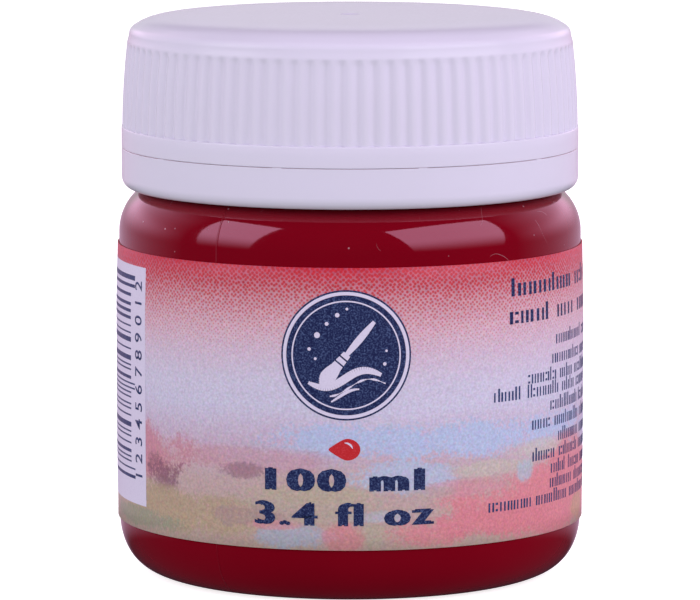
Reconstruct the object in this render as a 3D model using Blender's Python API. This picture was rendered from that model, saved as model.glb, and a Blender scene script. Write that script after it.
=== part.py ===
"""Paint jar: a round 100 ml screw-cap jar of gouache, with a tamper band, a foam liner and a wrap label.

Sizes are in millimetres and are turned to metres by MM where a mesh is made. The jar stands on z = 0
with its axis on Z, and -Y is the front of the label. Every piece is turned about that axis, so each
object's origin lies on the axis that the cap and the band turn about.
"""

from math import cos, pi, radians, sin, sqrt, tau

import bmesh
import bpy
from mathutils import Matrix

MM = 0.001
SEGMENTS = 60  # facets round every turned piece, aligned from piece to piece

# Jar body
BODY_R = 27.32
BODY_WALL = 1.2
BASE_CORNER_R, BASE_CORNER_H, BASE_CORNER_POWER = 7.1, 7.6, 2.4
STANDING_RING_IN_R = 18.2
BASE_RECESS = 0.8
FLOOR_THICKNESS = 1.5
SHOULDER_START_Z = 40.3
SHOULDER_ROUND = 6.0
NECK_R, NECK_BORE_R, NECK_TOP_Z = 23.6, 22.4, 62.9
LIP_ROUND = 0.35
BEAD_R, BEAD_LOW_Z, BEAD_HIGH_Z = 24.7, 47.7, 49.4

# Single-start right-hand thread, the same helix on the neck and in the cap
THREAD_LEAD, THREAD_TURNS = 4.0, 1.25
THREAD_ROOT_W, THREAD_CREST_W = 1.5, 0.6
THREAD_SINK = 0.4  # how far a ridge's root is set into its wall
THREAD_START_DEG = -90.0
NECK_THREAD_Z, NECK_THREAD_CREST_R = 55.0, 24.7
CAP_THREAD_DROP, CAP_THREAD_CREST_R = 1.3, 24.0

# Paint and label
PAINT_GAP = 0.12
PAINT_TOP_Z = 49.0
LABEL_IN_R, LABEL_OUT_R = 27.38, 27.5
LABEL_LOW_Z, LABEL_HIGH_Z = 6.65, 39.05
LABEL_SEAM = 0.8

# Tamper band, torn along the slit under the cap
BAND_OUT_R, BAND_IN_R, BAND_LIP_R = 26.84, 25.2, 24.1
BAND_LOW_Z, BAND_LIP_TOP_Z, BAND_HIGH_Z = 45.8, 47.3, 50.0
BRIDGE_COUNT, BRIDGE_FIRST_DEG = 10, 18.0
BRIDGE_W, BRIDGE_DEPTH, BRIDGE_H = 0.9, 0.6, 0.28
BRIDGE_MID_R = 26.4

# Screw cap
CAP_LOW_Z, CAP_TOP_Z = 50.35, 65.7
FLANGE_R, FLANGE_TOP_Z = 26.84, 52.7
RIB_COUNT, RIB_DEPTH = 90, 0.4
RIB_LOW_R, RIB_HIGH_R, RIB_TOP_Z = 26.75, 26.15, 62.6
CAP_SHOULDER = [(26.0, 63.1), (25.65, 64.0), (25.0, 64.62), (23.1, CAP_TOP_Z)]
CAP_BORE_R, CAP_BORE_TOP_Z = 25.0, 62.6
CAP_CEILING_R, CAP_CEILING_Z = 24.2, 64.3

# Foam liner
LINER_R, LINER_LOW_Z, LINER_HIGH_Z = 23.8, 63.08, 64.12


def arc(centre_r, centre_z, across, up, start_deg, end_deg, steps, power=2.0):
    """Outline points on an ellipse, or on a squarer rounding where power is above 2."""
    points = []
    for step in range(steps + 1):
        angle = radians(start_deg + (end_deg - start_deg) * step / steps)
        x, z = cos(angle), sin(angle)
        points.append((
            centre_r + across * (abs(x) ** (2 / power)) * (1 if x >= 0 else -1),
            centre_z + up * (abs(z) ** (2 / power)) * (1 if z >= 0 else -1),
        ))
    return points


def clear_scene():
    for thing in list(bpy.data.objects):
        bpy.data.objects.remove(thing, do_unlink=True)


def plastic(name, colour, roughness, alpha=1.0):
    """A Principled material in linear colour."""
    material = bpy.data.materials.new(name)
    material.use_nodes = True
    shader = material.node_tree.nodes["Principled BSDF"]
    shader.inputs["Base Color"].default_value = (*colour, 1.0)
    shader.inputs["Roughness"].default_value = roughness
    shader.inputs["Metallic"].default_value = 0.0
    shader.inputs["Alpha"].default_value = alpha
    return material


def add_object(name, bm, material):
    """A named object from a bmesh in millimetres, with its origin on the jar's axis."""
    bmesh.ops.remove_doubles(bm, verts=bm.verts, dist=1e-4)
    bmesh.ops.recalc_face_normals(bm, faces=bm.faces)
    bmesh.ops.scale(bm, vec=(MM, MM, MM), verts=bm.verts)
    mesh = bpy.data.meshes.new(name)
    bm.to_mesh(mesh)
    bm.free()
    mesh.materials.append(material)
    mesh.shade_smooth()
    mesh.set_sharp_from_angle(angle=radians(35))
    thing = bpy.data.objects.new(name, mesh)
    bpy.context.collection.objects.link(thing)
    return thing


def turned(outline, closed=False, seam=0.0):
    """A bmesh made by spinning an outline of (radius, height) points about Z.

    An open outline starts and ends on the axis. A seam, in millimetres along the outer wall, leaves the
    ring open by that much at the back.
    """
    bm = bmesh.new()
    start = pi / 2 + seam / 2 / max(radius for radius, _ in outline) if seam else 0.0
    verts = [bm.verts.new((r * cos(start), r * sin(start), z)) for r, z in outline]
    edges = [bm.edges.new(pair) for pair in zip(verts, verts[1:])]
    if closed:
        edges.append(bm.edges.new((verts[-1], verts[0])))
    swept = tau - 2 * (start - pi / 2) if seam else tau
    first_face = bm.faces.new(verts) if seam else None
    spun = bmesh.ops.spin(bm, geom=verts + edges, cent=(0, 0, 0), axis=(0, 0, 1), angle=swept, steps=SEGMENTS)
    if first_face:
        bm.faces.new([item for item in spun["geom_last"] if isinstance(item, bmesh.types.BMVert)])
    return bm


def cut_away(thing):
    """Hide a helper that only serves a Boolean."""
    thing.hide_render = True
    thing.display_type = "WIRE"


def join(thing, helper):
    """Union a hidden helper into a piece."""
    union = thing.modifiers.new("join_" + helper.name, "BOOLEAN")
    union.operation = "UNION"
    union.solver = "EXACT"
    union.object = helper
    cut_away(helper)


def thread_ridge(name, root_r, crest_r, start_z, material):
    """A helical ridge of trapezium section, from root_r to crest_r, that fades in and out at its ends."""
    sunk_r = root_r - THREAD_SINK if crest_r > root_r else root_r + THREAD_SINK
    steps = round(SEGMENTS * THREAD_TURNS)
    fade_steps = 4
    bm = bmesh.new()
    sections = []
    for step in range(steps + 1):
        angle = radians(THREAD_START_DEG) + tau * step / SEGMENTS
        height = min(1.0, (min(step, steps - step) + 0.5) / fade_steps)
        top_r = root_r + (crest_r - root_r) * height
        middle = start_z + THREAD_LEAD * step / SEGMENTS
        half_crest = THREAD_CREST_W / 2
        corners = [
            (sunk_r, middle - THREAD_ROOT_W / 2), (top_r, middle - half_crest),
            (top_r, middle + half_crest), (sunk_r, middle + THREAD_ROOT_W / 2),
        ]
        sections.append([bm.verts.new((r * cos(angle), r * sin(angle), z)) for r, z in corners])
    for low, high in zip(sections, sections[1:]):
        for side in range(4):
            after = (side + 1) % 4
            bm.faces.new((low[side], low[after], high[after], high[side]))
    bm.faces.new(sections[0])
    bm.faces.new(sections[-1])
    return add_object(name, bm, material)


def jar_body():
    material = plastic("clear_plastic", (0.42, 0.01, 0.03), 0.08, 0.6)
    corner_z = BASE_CORNER_H
    standing_r = BODY_R - BASE_CORNER_R
    round_r = BODY_R - SHOULDER_ROUND
    neck_foot_z = SHOULDER_START_Z + sqrt(SHOULDER_ROUND**2 - (NECK_R - round_r) ** 2)
    inner_round = SHOULDER_ROUND - BODY_WALL
    bore_foot_deg = 180 / pi * (pi / 2 - (NECK_BORE_R - round_r) / inner_round)
    neck_foot_deg = 180 / pi * (pi / 2 - (NECK_R - round_r) / SHOULDER_ROUND)
    floor_z = BASE_RECESS + FLOOR_THICKNESS
    inner_corner = BASE_CORNER_R - BODY_WALL
    outline = [(0.0, BASE_RECESS), (STANDING_RING_IN_R - BASE_RECESS, BASE_RECESS), (STANDING_RING_IN_R, 0.0)]
    outline += arc(standing_r, corner_z, BASE_CORNER_R, BASE_CORNER_H, -90, 0, 7, BASE_CORNER_POWER)
    outline += arc(round_r, SHOULDER_START_Z, SHOULDER_ROUND, SHOULDER_ROUND, 0, neck_foot_deg, 6)[:-1]
    outline += [
        (NECK_R, neck_foot_z), (NECK_R, BEAD_LOW_Z), (BEAD_R, BEAD_LOW_Z + 0.2),
        (BEAD_R, BEAD_LOW_Z + 0.6), (NECK_R, BEAD_HIGH_Z), (NECK_R, NECK_TOP_Z - LIP_ROUND),
        (NECK_R - LIP_ROUND, NECK_TOP_Z), (NECK_BORE_R + LIP_ROUND, NECK_TOP_Z),
        (NECK_BORE_R, NECK_TOP_Z - LIP_ROUND),
    ]
    outline += arc(round_r, SHOULDER_START_Z, inner_round, inner_round, bore_foot_deg, 0, 4)
    outline += arc(standing_r, floor_z + inner_corner, inner_corner, inner_corner, 0, -90, 5)
    outline.append((0.0, floor_z))
    body = add_object("jar_body", turned(outline), material)
    ridge = thread_ridge("neck_thread", NECK_R, NECK_THREAD_CREST_R, NECK_THREAD_Z, material)
    join(body, ridge)


def paint_fill():
    material = plastic("gouache", (0.30, 0.0, 0.01), 0.45)
    round_r = BODY_R - SHOULDER_ROUND
    inner_round = SHOULDER_ROUND - BODY_WALL - PAINT_GAP
    floor_z = BASE_RECESS + FLOOR_THICKNESS
    inner_corner = BASE_CORNER_R - BODY_WALL - PAINT_GAP
    neck_deg = 180 / pi * (pi / 2 - (NECK_BORE_R - PAINT_GAP - round_r) / inner_round)
    corner_mid_z = floor_z + PAINT_GAP + inner_corner
    outline = [(0.0, floor_z + PAINT_GAP)]
    outline += arc(BODY_R - BASE_CORNER_R, corner_mid_z, inner_corner, inner_corner, -90, 0, 5)
    outline += arc(round_r, SHOULDER_START_Z, inner_round, inner_round, 0, neck_deg, 4)
    outline += [(NECK_BORE_R - PAINT_GAP, PAINT_TOP_Z), (0.0, PAINT_TOP_Z)]
    add_object("paint_fill", turned(outline), material)


def label():
    material = plastic("printed_film", (0.55, 0.16, 0.24), 0.35)
    outline = [
        (LABEL_IN_R, LABEL_LOW_Z), (LABEL_OUT_R, LABEL_LOW_Z),
        (LABEL_OUT_R, LABEL_HIGH_Z), (LABEL_IN_R, LABEL_HIGH_Z),
    ]
    add_object("label", turned(outline, closed=True, seam=LABEL_SEAM), material)


def tamper_band():
    material = plastic("band_plastic", (0.63, 0.58, 0.75), 0.35)
    outline = [
        (BAND_LIP_R, BAND_LOW_Z + 0.5), (BAND_LIP_R + 0.5, BAND_LOW_Z), (BAND_OUT_R - 0.5, BAND_LOW_Z),
        (BAND_OUT_R, BAND_LOW_Z + 1.2), (BAND_OUT_R, BAND_HIGH_Z), (BAND_IN_R, BAND_HIGH_Z),
        (BAND_IN_R, BAND_LIP_TOP_Z + 0.5), (BAND_LIP_R, BAND_LIP_TOP_Z),
    ]
    band = add_object("tamper_band", turned(outline, closed=True), material)
    bm = bmesh.new()
    sunk = 0.3
    for count in range(BRIDGE_COUNT):
        angle = radians(-90 + BRIDGE_FIRST_DEG + count * 360 / BRIDGE_COUNT)
        stub = bmesh.ops.create_cube(bm, size=1.0)["verts"]
        bmesh.ops.scale(bm, vec=(BRIDGE_DEPTH, BRIDGE_W, BRIDGE_H + sunk), verts=stub)
        bmesh.ops.translate(bm, vec=(BRIDGE_MID_R, 0, BAND_HIGH_Z + (BRIDGE_H - sunk) / 2), verts=stub)
        bmesh.ops.rotate(bm, cent=(0, 0, 0), matrix=Matrix.Rotation(angle, 3, "Z"), verts=stub)
    join(band, add_object("bridge_stubs", bm, material))


def ring(bm, radii, height):
    """A ring of vertices whose radii are listed from +X round to the left."""
    steps = [tau * step / len(radii) for step in range(len(radii))]
    return [bm.verts.new((r * cos(a), r * sin(a), height)) for r, a in zip(radii, steps)]


def skin(bm, lower, upper):
    """Faces between two rings, where one may have a whole multiple of the other's vertices."""
    coarse, fine = (lower, upper) if len(lower) <= len(upper) else (upper, lower)
    share = len(fine) // len(coarse)
    for index, corner in enumerate(coarse):
        after = coarse[(index + 1) % len(coarse)]
        run = [fine[(index * share + step) % len(fine)] for step in range(share, -1, -1)]
        bm.faces.new([corner, after] + run)


def screw_cap():
    material = plastic("cap_plastic", (0.63, 0.58, 0.75), 0.35)
    bm = bmesh.new()
    ribs = range(RIB_COUNT)
    rib_middle_z = (FLANGE_TOP_Z + RIB_TOP_Z) / 2
    rib_middle_r = RIB_LOW_R + 0.45 * (RIB_HIGH_R - RIB_LOW_R)
    rib_rings = [(RIB_LOW_R, FLANGE_TOP_Z), (rib_middle_r, rib_middle_z), (RIB_HIGH_R, RIB_TOP_Z)]
    rings = [
        ring(bm, [CAP_BORE_R] * SEGMENTS, CAP_LOW_Z),
        ring(bm, [FLANGE_R] * SEGMENTS, CAP_LOW_Z),
        ring(bm, [FLANGE_R] * SEGMENTS, FLANGE_TOP_Z - 0.02),
    ]
    rings += [ring(bm, [r, r - RIB_DEPTH] * len(ribs), z) for r, z in rib_rings]
    rings += [ring(bm, [r] * SEGMENTS, z) for r, z in CAP_SHOULDER]
    inside = [
        ring(bm, [CAP_CEILING_R] * SEGMENTS, CAP_CEILING_Z),
        ring(bm, [CAP_BORE_R] * SEGMENTS, CAP_BORE_TOP_Z),
        rings[0],
    ]
    for stack in (rings, inside):
        for lower, upper in zip(stack, stack[1:]):
            skin(bm, lower, upper)
    bm.faces.new(rings[-1])
    bm.faces.new(inside[0])
    cap = add_object("screw_cap", bm, material)
    start_z = NECK_THREAD_Z - CAP_THREAD_DROP
    join(cap, thread_ridge("cap_thread", CAP_BORE_R, CAP_THREAD_CREST_R, start_z, material))


def cap_liner():
    material = plastic("foam_liner", (0.80, 0.80, 0.78), 0.7)
    outline = [
        (0.0, LINER_LOW_Z), (LINER_R - 0.15, LINER_LOW_Z), (LINER_R, LINER_LOW_Z + 0.15),
        (LINER_R, LINER_HIGH_Z - 0.15), (LINER_R - 0.15, LINER_HIGH_Z), (0.0, LINER_HIGH_Z),
    ]
    add_object("cap_liner", turned(outline), material)


clear_scene()
for make in (jar_body, paint_fill, label, tamper_band, screw_cap, cap_liner):
    make()
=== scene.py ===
"""A 100 ml screw-cap jar of crimson gouache on white paper, its tamper band still under the cap."""

import math
import random

import bpy
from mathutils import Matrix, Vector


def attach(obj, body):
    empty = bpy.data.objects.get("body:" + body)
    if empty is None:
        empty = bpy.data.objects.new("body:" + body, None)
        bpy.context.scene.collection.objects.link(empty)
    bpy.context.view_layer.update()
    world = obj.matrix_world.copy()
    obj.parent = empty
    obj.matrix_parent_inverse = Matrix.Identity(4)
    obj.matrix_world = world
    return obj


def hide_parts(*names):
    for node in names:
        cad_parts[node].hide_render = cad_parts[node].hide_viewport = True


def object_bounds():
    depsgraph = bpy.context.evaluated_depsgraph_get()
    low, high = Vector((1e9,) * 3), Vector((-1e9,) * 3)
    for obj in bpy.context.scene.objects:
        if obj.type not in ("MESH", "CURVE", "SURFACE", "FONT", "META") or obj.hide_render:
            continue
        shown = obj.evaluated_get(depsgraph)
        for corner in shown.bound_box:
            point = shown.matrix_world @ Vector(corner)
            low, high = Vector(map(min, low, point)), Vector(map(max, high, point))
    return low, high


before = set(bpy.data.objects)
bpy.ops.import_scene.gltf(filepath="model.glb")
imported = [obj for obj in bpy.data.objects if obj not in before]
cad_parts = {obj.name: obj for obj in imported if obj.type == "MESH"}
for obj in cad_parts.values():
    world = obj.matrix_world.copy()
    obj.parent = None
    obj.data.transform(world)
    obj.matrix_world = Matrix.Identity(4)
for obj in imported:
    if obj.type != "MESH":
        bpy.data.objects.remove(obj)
cad_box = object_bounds()

# ---------------------------------------------------------------------------------------------------
# The stage: the jar stands on a wide sheet of white paper, in front of a bright white wall, with a tall
# soft box on each side of the camera, one behind the jar and a faint one overhead. In the jar's gloss the
# room in front of it is dark.
# ---------------------------------------------------------------------------------------------------

MM = 0.001
jar_low, jar_high = cad_box
jar_middle_z = (jar_low[2] + jar_high[2]) / 2


def linear(colour):
    """A colour from its sRGB hex value, in the linear light that a shader takes."""
    channels = [int(colour[place:place + 2], 16) / 255 for place in (1, 3, 5)]
    return (*[c / 12.92 if c <= 0.04045 else ((c + 0.055) / 1.055) ** 2.4 for c in channels], 1.0)


def plug_in(tree, node, inputs):
    """Give a node's inputs plain values, other nodes' output sockets, or nodes, for their first output."""
    for socket, value in inputs.items():
        if isinstance(value, bpy.types.Node):
            value = next(output for output in value.outputs if output.enabled)
        if isinstance(value, bpy.types.NodeSocket):
            tree.links.new(value, node.inputs[socket])
        else:
            node.inputs[socket].default_value = value


def add_node(tree, kind, inputs=None, **settings):
    """One shader node with its settings and its inputs."""
    node = tree.nodes.new(kind)
    for name, value in settings.items():
        setattr(node, name, value)
    plug_in(tree, node, inputs or {})
    return node


def every(size_mm):
    """A pattern's scale, from how many mm across each of its features is drawn."""
    return 1 / (size_mm * MM)


def new_material(name):
    """A material with its tree, its shader, and the place on the piece that its patterns read."""
    material = bpy.data.materials.new(name)
    material.use_nodes = True
    tree = material.node_tree
    spot = add_node(tree, "ShaderNodeTexCoord").outputs["Object"]
    return material, tree, tree.nodes["Principled BSDF"], spot


# Plain matt paper, white enough to run into the white room behind it.
paper_reach = 5.0
bpy.ops.object.select_all(action="DESELECT")
bpy.ops.mesh.primitive_circle_add(vertices=96, radius=paper_reach, fill_type="NGON")
paper = bpy.context.object
paper.name = "white_paper"
paper_white, tree, shader, spot = new_material("matt_white_paper")
plug_in(tree, shader, {
    "Base Color": linear("#e4e4e6"), "Roughness": 0.9, "Specular IOR Level": 0.0,
    "Emission Color": (1, 1, 1, 1), "Emission Strength": 0.80})
paper.data.materials.append(paper_white)
paper.visible_glossy = False
paper.visible_diffuse = False

# Light comes evenly from all round, less of it from overhead and from the floor. In the jar's gloss only
# the wall behind is bright, lilac from the backdrop, so that only upright edges shine pale.
world = bpy.data.worlds.new("studio")
bpy.context.scene.world = world
world.use_nodes = True
room = world.node_tree
room_glow = room.nodes["Background"]
direction = add_node(room, "ShaderNodeTexCoord").outputs["Generated"]
along = add_node(room, "ShaderNodeSeparateXYZ", {0: direction})
behind = add_node(room, "ShaderNodeMapRange", {
    "Value": along.outputs["Y"], "From Min": 0.02, "From Max": 0.86, "To Min": 0.0, "To Max": 1.0})
above_floor = add_node(room, "ShaderNodeMapRange", {
    "Value": along.outputs["Z"], "From Min": -0.29, "From Max": -0.15}, interpolation_type="SMOOTHSTEP")
under_top = add_node(room, "ShaderNodeMapRange", {
    "Value": along.outputs["Z"], "From Min": 0.42, "From Max": 0.16, "To Min": 0.02, "To Max": 0.64,
}, interpolation_type="SMOOTHSTEP")
low_wall = add_node(room, "ShaderNodeMath", {
    0: above_floor, 1: under_top}, operation="MULTIPLY")
# To each side the wall stays bright higher up, and brighter still.
sideways = add_node(room, "ShaderNodeMath", {0: along.outputs["X"]}, operation="ABSOLUTE")
to_the_side = add_node(room, "ShaderNodeMapRange", {
    "Value": sideways, "From Min": 0.16, "From Max": 0.44}, interpolation_type="SMOOTHSTEP")
higher_up = add_node(room, "ShaderNodeMapRange", {
    "Value": along.outputs["Z"], "From Min": -0.04, "From Max": 0.26}, interpolation_type="SMOOTHSTEP")
not_overhead = add_node(room, "ShaderNodeMapRange", {
    "Value": along.outputs["Z"], "From Min": 0.80, "From Max": 0.50, "To Max": 1.45,
}, interpolation_type="SMOOTHSTEP")
side_wall = add_node(room, "ShaderNodeMath", {0: to_the_side, 1: higher_up}, operation="MULTIPLY")
wall_band = add_node(room, "ShaderNodeMath", {
    0: side_wall, 1: not_overhead, 2: low_wall}, operation="MULTIPLY_ADD")
gloss_light = add_node(room, "ShaderNodeMath", {
    0: behind, 1: wall_band, 2: 0.022}, operation="MULTIPLY_ADD")
ray = add_node(room, "ShaderNodeLightPath")
even_light = add_node(room, "ShaderNodeMapRange", {
    "Value": along.outputs["Z"], "From Min": 0.1, "From Max": 0.9, "To Min": 0.88, "To Max": 0.32})
dim_floor = add_node(room, "ShaderNodeMapRange", {
    "Value": along.outputs["Z"], "From Min": -0.8, "From Max": 0.0, "To Min": 0.42, "To Max": 1.0})
even_glow = add_node(room, "ShaderNodeMath", {0: even_light, 1: dim_floor}, operation="MULTIPLY")
lit = add_node(room, "ShaderNodeMix", {
    0: ray.outputs["Is Glossy Ray"], 2: even_glow, 3: gloss_light})
glow = add_node(room, "ShaderNodeMix", {0: ray.outputs["Is Camera Ray"], 2: lit, 3: 1.0})
above_eye = add_node(room, "ShaderNodeMapRange", {
    "Value": along.outputs["Z"], "From Min": -0.08, "From Max": 0.08})
straight_behind = add_node(room, "ShaderNodeMath", {
    0: above_eye, 1: to_the_side}, operation="SUBTRACT", use_clamp=True)
gloss_tint = add_node(room, "ShaderNodeMix", {
    0: straight_behind, "A": (1.0, 0.68, 0.94, 1.0), "B": (0.96, 0.93, 1.0, 1.0)}, data_type="RGBA")
tint = add_node(room, "ShaderNodeMix", {
    0: ray.outputs["Is Glossy Ray"], "A": (0.985, 1.0, 0.99, 1.0), "B": gloss_tint,
}, data_type="RGBA")
plug_in(room, room_glow, {"Strength": glow, "Color": tint})

# Each soft box: its bearing from the camera's side and its height angle in degrees, its size in metres and
# its watts.
soft_boxes = {
    "soft_box_left": {"bearing": -65, "rise": 25.5, "wide": 0.36, "tall": 0.56, "watts": 1.85},
    "soft_box_right": {"bearing": 56, "rise": 25.5, "wide": 0.62, "tall": 0.58, "watts": 3.1},
    "soft_box_top": {"bearing": 180, "rise": 80, "wide": 0.60, "tall": 0.60, "watts": 0.05},
    "soft_box_back": {"bearing": 165, "rise": 22, "wide": 0.70, "tall": 0.50, "watts": 1.6},
}
soft_box_away = 0.62
for box_name, box in soft_boxes.items():
    bearing, rise = math.radians(box["bearing"] - 90), math.radians(box["rise"])
    flat = soft_box_away * math.cos(rise)
    box_z = jar_middle_z + soft_box_away * math.sin(rise)
    place = (flat * math.cos(bearing), flat * math.sin(bearing), box_z)
    bpy.ops.object.light_add(type="AREA", location=place)
    lamp = bpy.context.object
    lamp.name = box_name
    lamp.rotation_euler = (math.pi / 2 - rise, 0, bearing + math.pi / 2)
    lamp.data.shape = "RECTANGLE"
    lamp.data.size, lamp.data.size_y = box["wide"], box["tall"]
    lamp.data.energy = box["watts"]
    lamp.data.color = (0.97, 0.77, 1.0)
    lamp.visible_camera = False
    lamp.visible_glossy = box_name != "soft_box_back"
    # The cloth is brightest above and fades out towards its lower edge.
    lamp.data.use_nodes = True
    cloth = lamp.data.node_tree
    across_cloth = add_node(cloth, "ShaderNodeNewGeometry").outputs["Parametric"]
    up_cloth = add_node(cloth, "ShaderNodeSeparateXYZ", {0: across_cloth})
    fade = add_node(cloth, "ShaderNodeMapRange", {
        "Value": up_cloth.outputs["Y"], "From Min": 0.0, "From Max": 0.5}, interpolation_type="SMOOTHSTEP")
    plug_in(cloth, cloth.nodes["Emission"], {"Strength": fade})

camera_height, camera_back, camera_dip = 0.1190, 0.6789, 7.31
bpy.ops.object.camera_add(
    location=(0, -camera_back, camera_height), rotation=(math.radians(90 - camera_dip), 0, 0))
camera = bpy.context.object
camera.data.lens, camera.data.sensor_width = 298.5, 36.0
bpy.context.scene.camera = camera
bpy.context.scene.view_settings.view_transform = "Standard"

# ---------------------------------------------------------------------------------------------------
# The jar body: injection stretch-blown clear plastic, 1.2 mm thick, on a round standing ring, with the
# retaining bead and a single right-hand thread moulded on its neck. It is drawn out ring by ring from
# a circle under the base, up the outside and down the inside, and the thread is joined on.
# ---------------------------------------------------------------------------------------------------

body_r, body_wall = 27.32, 1.2
corner_across, corner_up, corner_power = 6.5, 7.6, 2.4
shoulder_z, shoulder_round = 40.3, 6.0
shoulder_lean_z, shoulder_lean = 31.0, 0.16
foot_lean_z, foot_lean = 17.0, 0.07
neck_r, bore_r, neck_top_z = 23.6, 22.4, 62.9
base_recess, floor_z = 0.8, 2.3
paint_top_z = 49.0
thread_lead, thread_turns, thread_steps = 4.0, 1.25, 96


def lean_in(height):
    """How far in from upright the body's side stands at a height, in mm, near the shoulder and the foot."""
    up = min(1.0, max(0.0, (height - shoulder_lean_z) / (shoulder_z - shoulder_lean_z)))
    down = min(1.0, max(0.0, (foot_lean_z - height) / (foot_lean_z - corner_up)))
    return shoulder_lean * up * up * (3 - 2 * up) + foot_lean * down * down * (3 - 2 * down)


def bow(centre_r, centre_z, across, up, start, end, steps, power=2.0):
    """Outline points round an ellipse from one angle to another; power above 2 makes it squarer."""
    points = []
    for step in range(steps + 1):
        angle = math.radians(start + (end - start) * step / steps)
        x, z = math.cos(angle), math.sin(angle)
        points.append((
            centre_r + across * math.copysign(abs(x) ** (2 / power), x),
            centre_z + up * math.copysign(abs(z) ** (2 / power), z),
        ))
    return points


def draw_out(name, outline, around):
    """A turned piece: a circle is extruded and resized from one (radius, height) in mm to the next."""
    bpy.ops.object.select_all(action="DESELECT")
    radius, height = outline[0]
    bpy.ops.mesh.primitive_circle_add(vertices=around, radius=radius * MM, location=(0, 0, height * MM))
    piece = bpy.context.object
    piece.name = piece.data.name = name
    bpy.ops.object.transform_apply(location=True, rotation=False, scale=False)
    bpy.ops.object.mode_set(mode="EDIT")
    bpy.ops.mesh.select_mode(type="EDGE")
    bpy.ops.mesh.select_all(action="SELECT")
    for next_radius, next_height in outline[1:]:
        climb = (next_height - height) * MM
        bpy.ops.mesh.extrude_edges_move(TRANSFORM_OT_translate={"value": (0, 0, climb)})
        grow = next_radius / radius
        bpy.ops.transform.resize(value=(grow, grow, 1), center_override=(0, 0, 0))
        radius, height = next_radius, next_height
    bpy.ops.mesh.select_all(action="SELECT")
    bpy.ops.mesh.remove_doubles(threshold=0.002 * MM)
    bpy.ops.mesh.fill_holes(sides=0)
    bpy.ops.mesh.select_all(action="SELECT")
    bpy.ops.mesh.normals_make_consistent(inside=False)
    bpy.ops.object.mode_set(mode="OBJECT")
    return piece


def pick(piece):
    """Select one piece and nothing else, and make it the active one."""
    bpy.ops.object.select_all(action="DESELECT")
    bpy.context.view_layer.objects.active = piece
    piece.select_set(True)


def choose(piece, wanted):
    """Select the vertices of a piece for which wanted(x, y, z) holds, and nothing else."""
    mesh = piece.data
    for part in (mesh.polygons, mesh.edges, mesh.vertices):
        part.foreach_set("select", [False] * len(part))
    for vertex in mesh.vertices:
        vertex.select = wanted(*vertex.co)


def resize_chosen(piece, across):
    """Move the chosen vertices of a piece towards the jar's axis, or away from it."""
    pick(piece)
    bpy.ops.object.mode_set(mode="EDIT")
    bpy.ops.mesh.select_mode(type="VERT")
    bpy.ops.transform.resize(value=(across, across, 1), center_override=(0, 0, 0))
    bpy.ops.object.mode_set(mode="OBJECT")


def thread_ridge(name, sunk_r, root_r, crest_r, start_z, turns):
    """A screw thread's ridge: a small trapezium turned and lifted round the axis, run out at both ends."""
    bpy.ops.object.select_all(action="DESELECT")
    bpy.ops.mesh.primitive_plane_add(size=1, location=(0, 0, 0))
    ridge = bpy.context.object
    ridge.name = name
    foot, crest = 0.75 * MM, 0.28 * MM
    corners = [(sunk_r, -foot), (crest_r, -crest), (sunk_r, foot), (crest_r, crest)]
    for vertex, (r, rise) in zip(ridge.data.vertices, corners):
        vertex.co = (0, -r * MM, start_z * MM + rise)
    bpy.ops.object.mode_set(mode="EDIT")
    bpy.ops.mesh.select_all(action="SELECT")
    bpy.ops.mesh.delete(type="ONLY_FACE")
    bpy.ops.object.mode_set(mode="OBJECT")
    screw = ridge.modifiers.new("helix", "SCREW")
    screw.angle = math.tau * turns
    screw.screw_offset = thread_lead * turns * MM
    screw.steps = screw.render_steps = round(thread_steps * turns)
    bpy.ops.object.modifier_apply(modifier="helix")
    # The crest sinks into the wall over the last 15 degrees at each end.
    section_rise, section_turn = thread_lead / thread_steps * MM, math.tau / thread_steps
    run_out = 4
    for step in range(run_out):
        low_z = start_z * MM + step * section_rise
        high_z = (start_z + thread_lead * turns) * MM - step * section_rise
        into_turn = [step * section_turn, (turns * thread_steps - step) * section_turn]
        bearings = [turn - math.pi / 2 for turn in into_turn]
        share = (step + 0.2) / run_out
        for mid_z, bearing in zip((low_z, high_z), bearings):
            tip = (math.cos(bearing) * crest_r * MM, math.sin(bearing) * crest_r * MM)
            choose(ridge, lambda x, y, z: math.dist((x, y), tip) < 0.3 * MM and abs(z - mid_z) < 2 * crest)
            resize_chosen(ridge, (root_r + (crest_r - root_r) * share) / crest_r)
    bpy.ops.object.mode_set(mode="EDIT")
    bpy.ops.mesh.select_all(action="SELECT")
    bpy.ops.mesh.fill_holes(sides=0)
    bpy.ops.mesh.select_all(action="SELECT")
    bpy.ops.mesh.normals_make_consistent(inside=False)
    bpy.ops.object.mode_set(mode="OBJECT")
    return ridge


def join_to(piece, helper):
    """Union a helper into a piece, then throw the helper away."""
    union = piece.modifiers.new("join", "BOOLEAN")
    union.operation, union.solver, union.object = "UNION", "EXACT", helper
    pick(piece)
    bpy.ops.object.modifier_apply(modifier="join")
    bpy.data.objects.remove(helper, do_unlink=True)


def shade_round(piece, crease_deg):
    """Smooth shading with edges sharper than crease_deg left crisp."""
    pick(piece)
    bpy.ops.object.shade_smooth_by_angle(angle=math.radians(crease_deg))


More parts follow.
